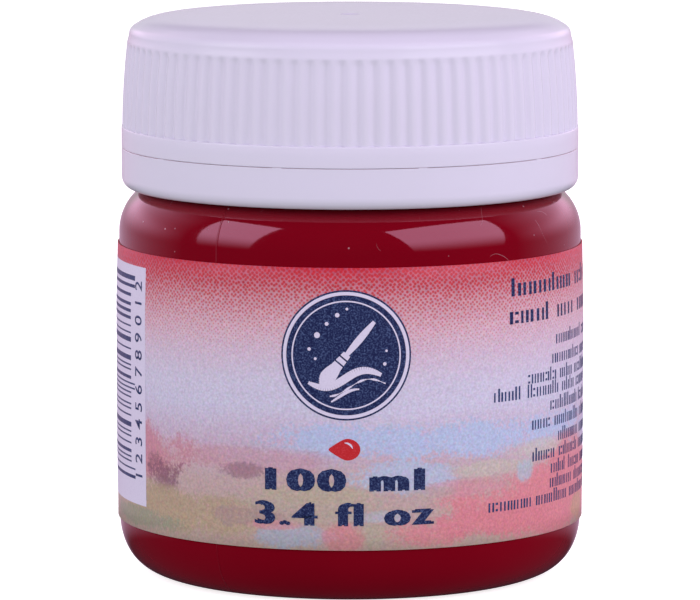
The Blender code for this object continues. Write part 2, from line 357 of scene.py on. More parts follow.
round_r = body_r - shoulder_round
inner_round = shoulder_round - body_wall
neck_foot = math.degrees(math.acos((neck_r - round_r) / shoulder_round))
bore_foot = math.degrees(math.acos((bore_r - round_r) / inner_round))
inner_corner = corner_across - body_wall
body_outline = [(1.0, base_recess), (16.8, base_recess)]
body_outline += bow(16.8, base_recess - 0.7, 0.7, 0.7, 90, 35, 4)[1:]
body_outline += [(18.0, 0.12), (18.3, 0.0)]
corner_r = body_r - corner_across
body_outline += bow(corner_r, corner_up, corner_across - foot_lean, corner_up, -90, 0, 26, corner_power)
side_heights = (9, 11, 13, 15, 17, 24, 31, 33, 35, 37, 39)
body_outline += [(body_r - lean_in(height), height) for height in side_heights]
shoulder_across = shoulder_round - shoulder_lean
body_outline += bow(round_r, shoulder_z, shoulder_across, shoulder_round, 0, neck_foot - 3, 22)
body_outline += [(neck_r + 0.12, 45.86), (neck_r, 46.1), (neck_r, 47.6)]
body_outline += [(23.9, 47.7), (24.55, 47.8), (24.7, 48.0), (24.7, 48.3), (24.5, 48.6), (23.7, 49.3)]
body_outline += [(neck_r, 49.5), (neck_r, 53.0), (neck_r, 57.0), (neck_r, 61.0)]
body_outline += bow(neck_r - 0.4, neck_top_z - 0.4, 0.4, 0.4, 0, 90, 5)
body_outline += bow(bore_r + 0.4, neck_top_z - 0.4, 0.4, 0.4, 90, 180, 5)
body_outline += [(bore_r, 57.0), (bore_r, 51.0), (bore_r, 47.0), (bore_r, 45.4)]
body_outline += bow(round_r, shoulder_z, inner_round, inner_round, bore_foot - 3, 0, 10)
body_outline += [(body_r - body_wall, 25.0)]
body_outline += bow(corner_r, floor_z + inner_corner, inner_corner, inner_corner, 0, -90, 10)
body_outline += [(1.0, floor_z)]

body_around = 256
jar_body = draw_out("jar_body_clear", body_outline, body_around)
neck_ridge = thread_ridge("neck_ridge", neck_r - 0.35, neck_r - 0.05, 24.7, 55.0, thread_turns)
join_to(jar_body, neck_ridge)
shade_round(jar_body, 40)

# Clear PET over gouache: the paint wets the wall, so below the fill line the eye sees its crimson
# straight behind a glossy skin, with a parting line, a little dust and hairline scratches in the gloss.
wall_over_paint, tree, shader, spot = new_material("glossy_pet_over_gouache")
cloud = add_node(tree, "ShaderNodeTexNoise", {"Vector": spot, "Scale": every(16.7), "Detail": 3.0})
crimson = add_node(tree, "ShaderNodeMix", {
    0: cloud, "A": linear("#740013"), "B": linear("#800016"),
}, data_type="RGBA")
dust = add_node(tree, "ShaderNodeTexVoronoi", {"Vector": spot, "Scale": every(1.25), "Randomness": 1.0})
dust_size = add_node(tree, "ShaderNodeMapRange", {
    "Value": dust, "From Min": 0.05, "From Max": 0.12, "To Min": 1.0, "To Max": 0.0})
dust_pick = add_node(tree, "ShaderNodeSeparateColor", {0: dust.outputs["Color"]})
dust_few = add_node(tree, "ShaderNodeMath", {
    0: dust_pick.outputs["Red"], 1: 0.80}, operation="GREATER_THAN")
dust_spots = add_node(tree, "ShaderNodeMath", {0: dust_size, 1: dust_few}, operation="MULTIPLY")
# Hairlines: where a slow noise crosses its middle value, kept only in the few places a second one is high.
swirl = add_node(tree, "ShaderNodeTexNoise", {
    "Vector": spot, "Scale": every(5.88), "Detail": 0.0, "Distortion": 0.8})
from_middle = add_node(tree, "ShaderNodeMath", {0: swirl, 1: 0.5, 2: 0.0035}, operation="COMPARE")
scuffed = add_node(tree, "ShaderNodeTexNoise", {"Vector": spot, "Scale": every(3.85), "Detail": 1.0})
scuffed_here = add_node(tree, "ShaderNodeMapRange", {
    "Value": scuffed, "From Min": 0.60, "From Max": 0.68, "To Min": 0.0, "To Max": 0.45})
hairline = add_node(tree, "ShaderNodeMath", {0: from_middle, 1: scuffed_here}, operation="MULTIPLY")
worn = add_node(tree, "ShaderNodeMath", {0: dust_spots, 1: hairline}, operation="MAXIMUM")
# They are worn in round the shoulder, where fingers touch, and the foot is clean.
place = add_node(tree, "ShaderNodeSeparateXYZ", {0: spot})
handled = add_node(tree, "ShaderNodeMapRange", {
    "Value": place.outputs["Z"], "From Min": 12 * MM, "From Max": 36 * MM})
dust_mask = add_node(tree, "ShaderNodeMath", {0: worn, 1: handled}, operation="MULTIPLY")
dust_soft = add_node(tree, "ShaderNodeMath", {0: dust_mask, 1: 0.55}, operation="MULTIPLY")
dusty = add_node(tree, "ShaderNodeMix", {
    0: dust_soft, "A": crimson, "B": linear("#d9b9c4"),
}, data_type="RGBA")
smudge = add_node(tree, "ShaderNodeTexNoise", {"Vector": spot, "Scale": every(7.14), "Detail": 4.0})
gloss = add_node(tree, "ShaderNodeMapRange", {
    "Value": smudge, "From Min": 0.3, "From Max": 0.8, "To Min": 0.035, "To Max": 0.10})
# The two mould halves meet on a line 34 degrees left of the front and on the far side.
parting_deg = -34.0
parting = math.radians(parting_deg - 90)
across_x = add_node(tree, "ShaderNodeMath", {
    0: place.outputs["X"], 1: -math.sin(parting)}, operation="MULTIPLY")
off_line = add_node(tree, "ShaderNodeMath", {
    0: place.outputs["Y"], 1: math.cos(parting), 2: across_x}, operation="MULTIPLY_ADD")
off_size = add_node(tree, "ShaderNodeMath", {0: off_line}, operation="ABSOLUTE")
ridge_height = add_node(tree, "ShaderNodeMapRange", {
    "Value": off_size, "From Min": 0.03 * MM, "From Max": 0.13 * MM, "To Min": 1.0, "To Max": 0.0})
streak_spot = add_node(tree, "ShaderNodeMapping", {"Vector": spot, "Scale": (1.0, 1.0, 0.25)})
waver = add_node(tree, "ShaderNodeTexNoise", {"Vector": streak_spot, "Scale": every(11.1), "Detail": 2.0})
height = add_node(tree, "ShaderNodeMath", {
    0: waver, 1: 0.35, 2: ridge_height}, operation="MULTIPLY_ADD")
dusted = add_node(tree, "ShaderNodeMath", {0: dust_mask, 1: 0.6, 2: height}, operation="MULTIPLY_ADD")
relief = add_node(tree, "ShaderNodeBump", {"Height": dusted, "Distance": 0.06 * MM, "Strength": 0.7})
plug_in(tree, shader, {
    "Base Color": dusty, "Roughness": gloss, "Normal": relief, "IOR": 1.57, "Specular IOR Level": 0.64,
    "Specular Tint": (1.0, 0.66, 0.80, 1.0), "Sheen Weight": 0.10, "Sheen Roughness": 0.45,
    "Sheen Tint": linear("#e39ab4")})

# The neck above the paint is the same plastic with nothing behind it, clear with a faint rose tint.
clear_pet, tree, shader, spot = new_material("clear_pet_neck")
haze = add_node(tree, "ShaderNodeTexNoise", {"Vector": spot, "Scale": every(5.0), "Detail": 3.0})
hazy = add_node(tree, "ShaderNodeMapRange", {"Value": haze, "To Min": 0.04, "To Max": 0.14})
plug_in(tree, shader, {
    "Base Color": linear("#f6eef2"), "Roughness": hazy, "Transmission Weight": 1.0, "IOR": 1.57})

jar_body.data.materials.append(wall_over_paint)
jar_body.data.materials.append(clear_pet)
for face in jar_body.data.polygons:
    face.material_index = 1 if face.center.z > paint_top_z * MM else 0
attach(jar_body, "jar")
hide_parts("jar_body")

# ---------------------------------------------------------------------------------------------------
# The paint: thick crimson gouache, wet and a little glossy, that fills the body to just inside the neck.
# It is turned to the wall's inner shape, and its top dips in the middle where it was poured and settled.
# ---------------------------------------------------------------------------------------------------

paint_gap = 0.05
fill_round = inner_round - paint_gap
fill_corner = inner_corner - paint_gap
paint_outline = [(1.0, floor_z + paint_gap)]
paint_outline += bow(corner_r, floor_z + inner_corner, fill_corner, fill_corner, -90, 0, 8)
paint_outline += bow(round_r, shoulder_z, fill_round, fill_round, 0, bore_foot - 3, 8)
paint_outline += [(bore_r - paint_gap, 46.0), (bore_r - paint_gap, paint_top_z + 0.1)]
paint_outline += [(bore_r - 0.35, paint_top_z - 0.25), (bore_r - 0.9, paint_top_z - 0.45)]
dip_radii = (20, 18, 16, 14, 12, 10, 8, 6, 4, 2, 0.6)
paint_outline += [(r, paint_top_z - 0.5 - 0.5 * (1 - (r / 21) ** 2)) for r in dip_radii]
paint = draw_out("crimson_gouache", paint_outline, 160)
shade_round(paint, 50)

# Wet gouache: opaque, with a soft sheen over slow folds of deeper and redder paint.
gouache, tree, shader, spot = new_material("wet_crimson_gouache")
fold = add_node(tree, "ShaderNodeTexNoise", {
    "Vector": spot, "Scale": every(9.09), "Detail": 3.0, "Distortion": 1.6})
tone = add_node(tree, "ShaderNodeMix", {
    0: fold, "A": linear("#7a0014"), "B": linear("#a00822")}, data_type="RGBA")
swell = add_node(tree, "ShaderNodeBump", {"Height": fold, "Distance": 0.9 * MM, "Strength": 0.8})
plug_in(tree, shader, {"Base Color": tone, "Roughness": 0.32, "Normal": swell})
paint.data.materials.append(gouache)
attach(paint, "jar")
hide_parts("paint_fill")

# ---------------------------------------------------------------------------------------------------
# The label: a 0.12 mm printed film wrapped once round the body, its end lapped over its start at the
# back. It is drawn out as a thin ring, and the lap is the strip that stands one film proud.
# ---------------------------------------------------------------------------------------------------

label_low_z, label_high_z = 6.65, 39.05
label_in_r, label_r = 27.36, 27.5
label_edge = 0.03
label_foot_r = label_r - foot_lean
label_outline = [(label_in_r - foot_lean, label_low_z), (label_foot_r - label_edge, label_low_z)]
label_outline += [(label_foot_r, label_low_z + label_edge)]
label_rows = 16
label_tall = label_high_z - label_low_z
row_heights = [label_low_z + label_tall * row / label_rows for row in range(1, label_rows)]
label_outline += [(label_r - lean_in(height), height) for height in row_heights]
label_top_lean = lean_in(label_high_z)
label_outline += [(label_r - label_top_lean, label_high_z - label_edge)]
label_outline += [(label_r - label_top_lean - label_edge, label_high_z)]
label_outline += [(label_in_r - label_top_lean, label_high_z)]
label_outline += [(label_in_r - lean_in(height), height) for height in reversed(row_heights)]
label_outline += [(label_in_r - foot_lean, label_low_z)]
label = draw_out("printed_label", label_outline, 360)
lap_wide, lap_proud = 6.5, 0.09
choose(label, lambda x, y, z: (
    y > 0 and -0.2 * MM < x < lap_wide * MM
    and math.hypot(x, y) > (label_in_r - lean_in(z / MM) + 0.05) * MM))
resize_chosen(label, (label_r + lap_proud) / label_r)
shade_round(label, 50)

# Offset-printed film with a satin varnish: a watercolour wash laid down as fine ink dots, red along the
# top, lilac in the middle, with blue, rose, sand and grey-green dabs below. It is a coarse screen, with
# its dots 0.42 mm apart, and the film's grain is drawn 0.28 mm across, coarser than the real one, to show.
film_print, tree, shader, spot = new_material("offset_printed_film")
place = add_node(tree, "ShaderNodeSeparateXYZ", {0: spot})
toward_front = add_node(tree, "ShaderNodeMath", {0: place.outputs["Y"], 1: -1.0}, operation="MULTIPLY")
bearing = add_node(tree, "ShaderNodeMath", {0: place.outputs["X"], 1: toward_front}, operation="ARCTAN2")
# Round the label in mm from the front, and up the label from 0 at its lower edge to 1 at its upper one.
arc = add_node(tree, "ShaderNodeMath", {0: bearing, 1: label_r}, operation="MULTIPLY")
rise = add_node(tree, "ShaderNodeMapRange", {
    "Value": place.outputs["Z"], "From Min": label_low_z * MM, "From Max": label_high_z * MM})
wash = add_node(tree, "ShaderNodeTexNoise", {
    "Vector": spot, "Scale": every(10.53), "Detail": 5.0, "Roughness": 0.6})
wide_wash = add_node(tree, "ShaderNodeTexNoise", {"Vector": spot, "Scale": every(26.3), "Detail": 2.0})
grain = add_node(tree, "ShaderNodeTexNoise", {"Vector": spot, "Scale": every(0.278), "Detail": 1.0})
stipple = add_node(tree, "ShaderNodeTexNoise", {
    "Vector": spot, "Scale": every(0.435), "Detail": 2.0, "Roughness": 0.7})
wander = add_node(tree, "ShaderNodeMath", {0: wide_wash, 1: -0.5}, operation="ADD")
uneven = add_node(tree, "ShaderNodeMath", {0: wander, 1: 0.10, 2: rise}, operation="MULTIPLY_ADD")
sky = add_node(tree, "ShaderNodeValToRGB", {"Fac": uneven})
sky_stops = [
    (0.00, "#b7a096"), (0.24, "#c2a9a9"), (0.38, "#c8b4cb"), (0.50, "#cdcae2"), (0.58, "#cfcae1"),
    (0.68, "#d3c0d5"), (0.78, "#d7b3c3"), (0.88, "#cd98a6"), (1.00, "#ba3b58"),
]
while len(sky.color_ramp.elements) < len(sky_stops):
    sky.color_ramp.elements.new(0.5)
for stop, (where, colour) in zip(sky.color_ramp.elements, sky_stops):
    stop.position, stop.color = where, linear(colour)
colour = sky

# Each dab: its middle in mm round the label and as a share up it, its half width and half height in the
# same measures, how ragged its edge is, how strong it is at most, and its colour.
dabs = [
    (13.0, 0.385, 22.0, 0.075, 0.9, 0.90, "#b4c4e6"), (-8.0, 0.33, 9.0, 0.05, 0.8, 0.35, "#b9c0dc"),
    (6.0, 0.26, 6.5, 0.075, 1.0, 0.80, "#b4c3e0"), (4.0, 0.12, 4.5, 0.03, 1.2, 0.55, "#b3bfd6"),
    (-27.0, 0.30, 10.0, 0.10, 1.0, 0.75, "#cb8091"), (-14.0, 0.31, 12.0, 0.055, 1.1, 0.55, "#c88f9d"),
    (-23.0, 0.235, 4.5, 0.085, 1.9, 0.80, "#86586d"), (-13.5, 0.27, 5.5, 0.028, 2.2, 0.55, "#8a6478"),
    (-22.0, 0.11, 16.0, 0.085, 0.9, 0.90, "#b49f85"), (-4.0, 0.16, 10.0, 0.07, 1.2, 0.60, "#b8ab9b"),
    (-30.0, 0.05, 9.0, 0.035, 1.3, 0.75, "#979a86"), (-12.0, 0.11, 6.0, 0.040, 2.2, 0.45, "#a58592"),
    (3.0, 0.055, 3.0, 0.05, 1.1, 0.75, "#b3ab98"), (-6.5, 0.045, 5.0, 0.045, 1.3, 0.75, "#a8b2c6"),
    (-9.0, 0.085, 3.5, 0.018, 1.3, 0.70, "#d09099"), (-0.6, 0.045, 3.0, 0.055, 1.1, 0.65, "#d67f8b"),
    (8.5, 0.055, 6.0, 0.065, 1.1, 0.90, "#d88591"),
    (30.0, 0.13, 19.0, 0.15, 0.8, 0.95, "#dc8592"), (33.0, 0.28, 7.0, 0.07, 1.0, 0.75, "#d98794"),
    (15.0, 0.21, 6.5, 0.03, 1.1, 0.60, "#cf96a3"), (18.0, 0.08, 9.0, 0.06, 1.0, 0.90, "#d7818e"),
    (18.5, 0.27, 6.5, 0.03, 1.2, 0.75, "#c6bcb4"), (24.5, 0.32, 5.5, 0.035, 1.2, 0.75, "#c9c2c0"),
    (22.5, 0.245, 1.6, 0.05, 1.2, 0.75, "#aebfd0"), (-4.0, 0.20, 9.0, 0.035, 1.3, 0.60, "#bcae98"),
    (36.0, 0.06, 3.0, 0.05, 1.4, 0.60, "#bfa37d"), (9.0, 0.20, 3.0, 0.02, 1.3, 0.60, "#b9a5a3"),
    (52.0, 0.34, 17.0, 0.08, 1.0, 0.75, "#b6bfdf"), (58.0, 0.13, 14.0, 0.10, 1.0, 0.85, "#b49e86"),
    (72.0, 0.24, 13.0, 0.09, 1.0, 0.75, "#cc8493"), (-52.0, 0.32, 15.0, 0.08, 1.0, 0.70, "#b9c1e0"),
    (-62.0, 0.13, 17.0, 0.09, 1.0, 0.85, "#d07f8a"), (-76.0, 0.27, 10.0, 0.08, 1.1, 0.75, "#a68a96"),
    (-80.0, 0.07, 9.0, 0.05, 1.2, 0.80, "#9fa694"),
]
for middle, up, wide, tall, ragged, strength, ink in dabs:
    dx = add_node(tree, "ShaderNodeMath", {0: arc, 1: -middle}, operation="ADD")
    dx_share = add_node(tree, "ShaderNodeMath", {0: dx, 1: wide}, operation="DIVIDE")
    dz = add_node(tree, "ShaderNodeMath", {0: rise, 1: -up}, operation="ADD")
    dz_share = add_node(tree, "ShaderNodeMath", {0: dz, 1: tall}, operation="DIVIDE")
    dx_square = add_node(tree, "ShaderNodeMath", {0: dx_share, 1: dx_share}, operation="MULTIPLY")
    away = add_node(tree, "ShaderNodeMath", {
        0: dz_share, 1: dz_share, 2: dx_square}, operation="MULTIPLY_ADD")
    frayed = add_node(tree, "ShaderNodeMath", {
        0: wash, 1: ragged * 3.6, 2: away}, operation="MULTIPLY_ADD")
    stippled = add_node(tree, "ShaderNodeMath", {
        0: stipple, 1: 1.8, 2: frayed}, operation="MULTIPLY_ADD")
    edge_at = 0.90 + ragged * 1.8 + 0.9
    cover = add_node(tree, "ShaderNodeMapRange", {
        "Value": stippled, "From Min": edge_at - 0.48, "From Max": edge_at + 0.32,
        "To Min": strength, "To Max": 0.0}, interpolation_type="SMOOTHSTEP")
    colour = add_node(tree, "ShaderNodeMix", {
        0: cover, "A": colour, "B": linear(ink)}, data_type="RGBA")

# The screen: round red dots on the two diagonals, a little out of line, which grow towards the top edge.
dot_pitch = 0.42
height_mm = add_node(tree, "ShaderNodeMath", {0: place.outputs["Z"], 1: 1 / MM}, operation="MULTIPLY")
screen = add_node(tree, "ShaderNodeCombineXYZ", {0: arc, 1: height_mm})
diagonal = add_node(tree, "ShaderNodeMapping", {"Vector": screen, "Rotation": (0, 0, math.radians(45))})
dots = add_node(tree, "ShaderNodeTexVoronoi", {
    "Vector": diagonal, "Scale": 1 / dot_pitch, "Randomness": 0.42}, voronoi_dimensions="2D")
dot_reach = add_node(tree, "ShaderNodeMapRange", {
    "Value": uneven, "From Min": 0.60, "From Max": 1.0, "To Min": 0.10, "To Max": 0.46})
inside_dot = add_node(tree, "ShaderNodeMath", {0: dot_reach, 1: dots}, operation="SUBTRACT")
dot_cover = add_node(tree, "ShaderNodeMapRange", {
    "Value": inside_dot, "From Min": -0.10, "From Max": 0.12, "To Min": 0.0, "To Max": 1.0})
dot_zone = add_node(tree, "ShaderNodeMapRange", {
    "Value": uneven, "From Min": 0.60, "From Max": 0.93, "To Min": 0.06, "To Max": 0.85})
dot_mask = add_node(tree, "ShaderNodeMath", {0: dot_cover, 1: dot_zone}, operation="MULTIPLY")
dotted = add_node(tree, "ShaderNodeMix", {
    0: dot_mask, "A": colour, "B": linear("#c60c20")}, data_type="RGBA")
specks = add_node(tree, "ShaderNodeMix", {
    0: 0.24, "A": dotted, "B": stipple.outputs["Color"]}, data_type="RGBA", blend_type="OVERLAY")
grained = add_node(tree, "ShaderNodeMapRange", {
    "Value": grain, "From Min": 0.2, "From Max": 0.8, "To Min": 0.84, "To Max": 1.14})
speckled = add_node(tree, "ShaderNodeMix", {
    0: 1.0, "A": specks, "B": grained}, data_type="RGBA", blend_type="MULTIPLY")
varnish = add_node(tree, "ShaderNodeMapRange", {
    "Value": wash, "From Min": 0.3, "From Max": 0.7, "To Min": 0.36, "To Max": 0.46})
film_grain = add_node(tree, "ShaderNodeBump", {"Height": grain, "Distance": 0.01 * MM, "Strength": 0.3})
plug_in(tree, shader, {"Base Color": speckled, "Roughness": varnish, "Normal": film_grain, "IOR": 1.46})
label.data.materials.append(film_print)
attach(label, "jar")
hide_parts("label")

# ---------------------------------------------------------------------------------------------------
# The print on the label: a round navy badge with a brush on it, a red paint drop, the contents in bold
# figures, lines of small print, and a bar panel. Each is drawn flat, given an ink film's thickness and
# then wrapped on the label.
# ---------------------------------------------------------------------------------------------------

ink_thick = 0.015


def printing_ink(name, colour, mottled):
    """Offset ink on film: even and satin, with a mottle where the film shows, drawn coarse to show."""
    ink, ink_tree, ink_shader, where = new_material(name)
    mottle = add_node(ink_tree, "ShaderNodeTexNoise", {
        "Vector": where, "Scale": every(0.192), "Detail": 2.0})
    thin = add_node(ink_tree, "ShaderNodeMapRange", {
        "Value": mottle, "From Min": 0.46, "From Max": 0.78, "To Min": 0.0, "To Max": 0.7})
    mixed = add_node(ink_tree, "ShaderNodeMix", {
        0: thin, "A": linear(colour), "B": linear(mottled)}, data_type="RGBA")
    plug_in(ink_tree, ink_shader, {"Base Color": mixed, "Roughness": 0.42, "IOR": 1.46})
    return ink


navy_ink = printing_ink("navy_offset_ink", "#0d1c52", "#6079ab")
slate_ink = printing_ink("thin_navy_offset_ink", "#1d3366", "#506aa0")
red_ink = printing_ink("red_offset_ink", "#c4101f", "#d43a46")
white_ink = printing_ink("white_offset_ink", "#dad5ec", "#cdc7e0")


def blank(name):
    """An empty flat drawing, opened for editing: x is round the label and y is up it, in mm."""
    bpy.ops.object.select_all(action="DESELECT")
    bpy.ops.mesh.primitive_plane_add(size=1)
    drawing = bpy.context.object
    drawing.name = drawing.data.name = name
    bpy.ops.object.mode_set(mode="EDIT")
    bpy.ops.mesh.select_all(action="SELECT")
    bpy.ops.mesh.delete(type="VERT")
    return drawing


def bar(x, y, wide, tall, tilt=0.0, cuts=0):
    """A filled bar in the drawing that is open, turned about its middle by tilt degrees."""
    bpy.ops.mesh.primitive_plane_add(size=1, location=(x, y, 0))
    bpy.ops.transform.resize(value=(wide, tall, 1), center_override=(x, y, 0))
    if cuts:
        bpy.ops.mesh.subdivide(number_cuts=cuts)
    if tilt:
        bpy.ops.transform.rotate(value=math.radians(tilt), orient_axis="Z", center_override=(x, y, 0))


def disc(x, y, radius, around=96, rings=6):
    """A filled disc in the drawing that is open, in rings so that it wraps smoothly."""
    bpy.ops.mesh.primitive_circle_add(vertices=around, radius=radius, location=(x, y, 0), fill_type="NGON")
    for _ in range(rings - 1):
        bpy.ops.mesh.inset(thickness=radius / rings)


def print_on_label(drawing, ink, lift=0.0, filmed=False):
    """Close a drawing, give it the ink film's thickness and wrap it on the label, lift mm off its face."""
    if drawing.mode == "EDIT":
        bpy.ops.object.mode_set(mode="OBJECT")
    pick(drawing)
    if not filmed:
        film = drawing.modifiers.new("film", "SOLIDIFY")
        film.thickness, film.offset = ink_thick, 1.0
        bpy.ops.object.modifier_apply(modifier="film")
    for vertex in drawing.data.vertices:
        x, y, z = vertex.co
        out = (label_r - lean_in(y) + 0.005 + lift + z) * MM
        vertex.co = (out * math.sin(x / label_r), -out * math.cos(x / label_r), y * MM)
    drawing.data.materials.append(ink)
    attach(drawing, "jar")


def band_round(x, y, radius, wide):
    """A thin ring in the drawing that is open."""
    bpy.ops.mesh.select_all(action="DESELECT")
    bpy.ops.mesh.primitive_circle_add(vertices=120, radius=radius, location=(x, y, 0))
    bpy.ops.mesh.extrude_edges_move(TRANSFORM_OT_translate={"value": (0, 0, 0)})
    shrink = 1 - wide / radius
    bpy.ops.transform.resize(value=(shrink, shrink, 1), center_override=(x, y, 0))


def brush_line(points, widths):
    """A stroke along a line of points, as wide at each step as the list says."""
    for (x0, y0), (x1, y1), wide in zip(points, points[1:], widths):
        length = math.dist((x0, y0), (x1, y1))
        bar((x0 + x1) / 2, (y0 + y1) / 2, length, wide, tilt=math.degrees(math.atan2(y0 - y1, x1 - x0)))


# The badge, in the middle of the front: a navy disc in a thin navy ring, with the film left bare between.
badge_x, badge_y, badge_r = -0.45, 29.1, 6.85
badge = blank("badge_disc")
disc(badge_x, badge_y, badge_r)
band_round(badge_x, badge_y, 7.45, 0.20)
print_on_label(badge, navy_ink)

badge_lines = blank("badge_ring_and_brush")
band_round(badge_x, badge_y, 7.25, 0.38)
band_round(badge_x, badge_y, 6.25, 0.16)
# The brush leans from lower left to upper right: a tapered handle, a ferrule with two crimps cut through
# it, and a full round of bristles that comes to a point.
brush_lean = 40.0
lean_x, lean_y = math.sin(math.radians(brush_lean)), math.cos(math.radians(brush_lean))
handle = [0.30 + 0.52 * math.sin(math.pi * (0.08 + 0.80 * step / 26)) for step in range(26)]
ferrule = [0.94, 0.98, 1.02, 0.0, 1.06, 1.10, 1.14, 0.0, 1.18, 1.22]
bristles = [1.25 + 0.55 * math.sin(math.pi * step / 16) for step in range(9)]
bristles += [1.79 * math.cos(math.pi / 2 * step / 8) for step in range(1, 8)]
brush_widths = handle + ferrule + bristles
brush_step, brush_top = 0.185, 5.0
brush_places = [brush_top - brush_step * step for step in range(len(brush_widths) + 1)]
brush_points = [(badge_x + along * lean_x, badge_y + along * lean_y) for along in brush_places]
for first, last in ((0, 29), (30, 33), (34, len(brush_widths))):
    brush_line(brush_points[first:last + 1], brush_widths[first:last])
# The stroke that it has just laid, which dips, rises and runs dry to the right.
stroke_steps = 34
stroke_points = [(
    badge_x - 4.3 + 8.3 * step / stroke_steps,
    badge_y - 3.15 - 0.75 * math.sin(math.tau * step / stroke_steps) + 0.9 * step / stroke_steps,
) for step in range(stroke_steps + 1)]
stroke_widths = [0.20 + 0.75 * math.sin(math.pi * (step + 1) / 36) ** 0.6 for step in range(stroke_steps)]
brush_line(stroke_points, stroke_widths)
dry_points = [(x + 0.5, y - 1.0) for x, y in stroke_points[8:]]
brush_line(dry_points, [0.16 + 0.10 * math.sin(step) for step in range(len(dry_points) - 1)])
low_points = [(x - 1.3, y - 1.15) for x, y in dry_points[6:20]]
brush_line(low_points, [0.14 + 0.22 * math.sin(math.pi * (step + 1) / 14) for step in range(13)])
# Flecks thrown off by the brush: each one's place from the badge's middle, and its radius.
flecks = [
    (-3.3, 2.3, 0.34), (-2.2, 3.6, 0.22), (-4.2, 0.7, 0.20), (0.1, 5.3, 0.16),
    (-1.0, 4.6, 0.26), (-3.5, -0.4, 0.16), (4.4, -1.0, 0.20), (4.6, 0.5, 0.14),
]
for fleck_x, fleck_y, fleck_r in flecks:
    bpy.ops.mesh.primitive_circle_add(
        vertices=20, radius=fleck_r, location=(badge_x + fleck_x, badge_y + fleck_y, 0), fill_type="NGON")
print_on_label(badge_lines, white_ink, lift=0.02)

# The paint drop under the badge, lying on its side, with a small light on it.
drop = blank("red_paint_drop")
drop_x, drop_y, drop_r = -0.35, 18.3, 1.25
disc(drop_x, drop_y, drop_r, around=48)
bpy.ops.object.mode_set(mode="OBJECT")
for vertex in drop.data.vertices:
    beyond = max(0.0, drop_x - vertex.co.x) / drop_r
    vertex.co.y = drop_y + (vertex.co.y - drop_y) * (1 - 0.55 * beyond**1.5)
    vertex.co.x = drop_x + (vertex.co.x - drop_x) * 1.22 - 0.45 * drop_r * beyond**2
print_on_label(drop, red_ink)
drop_light = blank("paint_drop_light")
light_points = [
    (drop_x - 0.25 + 0.9 * math.sin(0.2 * step), drop_y + 0.78 * math.cos(0.2 * step)) for step in range(8)]
brush_line(light_points, [0.10, 0.17, 0.21, 0.23, 0.21, 0.17, 0.10])
print_on_label(drop_light, white_ink, lift=0.02)


def bold_line(name, words, left, right, low, tall):
    """A line of heavy figures: shifted copies of plain ones are joined, then stretched to their place."""
    copies = []
    for order, (nudge_x, nudge_y) in enumerate(((-0.07, -0.016), (0.0, 0.016), (0.07, -0.016))):
        bpy.ops.object.select_all(action="DESELECT")
        bpy.ops.object.text_add(location=(nudge_x, nudge_y, 0))
        line = bpy.context.object
        line.data.body = words
        line.data.size = 1.0
        line.data.space_character = 1.22
        line.data.resolution_u = 3
        bpy.ops.object.convert(target="MESH")
        bpy.ops.object.transform_apply(location=True, rotation=False, scale=False)
        line = bpy.context.object
        film = line.modifiers.new("film", "SOLIDIFY")
        film.thickness, film.offset = ink_thick + 0.001 * order, 1.0
        bpy.ops.object.modifier_apply(modifier="film")
        copies.append(line)
    line = copies[0]
    for copy in copies[1:]:
        join_to(line, copy)
    line.name = line.data.name = name
    lowest = [min(v.co[axis] for v in line.data.vertices) for axis in (0, 1)]
    highest = [max(v.co[axis] for v in line.data.vertices) for axis in (0, 1)]
    stretch_x = (right - left) / (highest[0] - lowest[0])
    stretch_y = tall / (highest[1] - lowest[1])
    for vertex in line.data.vertices:
        vertex.co.x = left + (vertex.co.x - lowest[0]) * stretch_x
        vertex.co.y = low + (vertex.co.y - lowest[1]) * stretch_y
    print_on_label(line, navy_ink, filmed=True)


bold_line("contents_in_ml", "100 ml", -9.9, 8.7, 13.44, 2.65)
bold_line("contents_in_ounces", "3.4 fl oz", -11.2, 9.8, 9.46, 2.75)

# Small print: rows of plain upright ticks and dots, grouped as words are, centred on a line down the label.
marks = random.Random(11)


def marked_line(centre, reach, low, tall, pitch, heavy=0.40):
    """One line of ticks in the drawing that is open, reaching as far each way from centre."""
    x = centre - reach
    left_in_word = marks.randint(7, 15)
    while x < centre + reach:
        if left_in_word:
            kind = marks.random()
            rise = tall * (1.0 if kind > 0.86 else 0.70)
            if kind < 0.07:
                for dot_up in (0.12, 0.60):
                    bar(x + pitch / 2, low + tall * dot_up, pitch * 0.62, tall * 0.16)
            else:
                bar(x + pitch / 2, low + rise / 2, pitch * marks.uniform(heavy - 0.06, heavy + 0.10), rise)
            left_in_word -= 1
        else:
            left_in_word = marks.randint(5, 15)
            x += pitch * 0.5
        x += pitch * marks.uniform(0.85, 1.2)


small_print = blank("small_print_right")
side_centre = 43.0
marked_line(side_centre, 22.9, 34.9, 2.1, 0.95, 0.46)
marked_line(side_centre, 23.2, 31.7, 2.05, 0.95, 0.46)
print_on_label(small_print, navy_ink)
fine_print = blank("fine_print_right")
side_lines = [
    (14.3, 28.6), (15.2, 26.4), (20.0, 24.5), (25.5, 22.9), (15.6, 21.0), (19.3, 19.1),
    (13.7, 17.2), (19.2, 15.4), (15.4, 13.6), (15.6, 11.9), (26.2, 10.2),
]
for reach, low in side_lines:
    marked_line(side_centre, reach, low, 1.55, 0.54, 0.42)
print_on_label(fine_print, slate_ink)

back_print = blank("small_print_back")
back_centre = -66.0
for row in range(9):
    marked_line(back_centre, 13.0 - 1.5 * (row % 3), 12.0 + 2.5 * row, 1.3, 0.56, 0.38)
print_on_label(back_print, slate_ink)

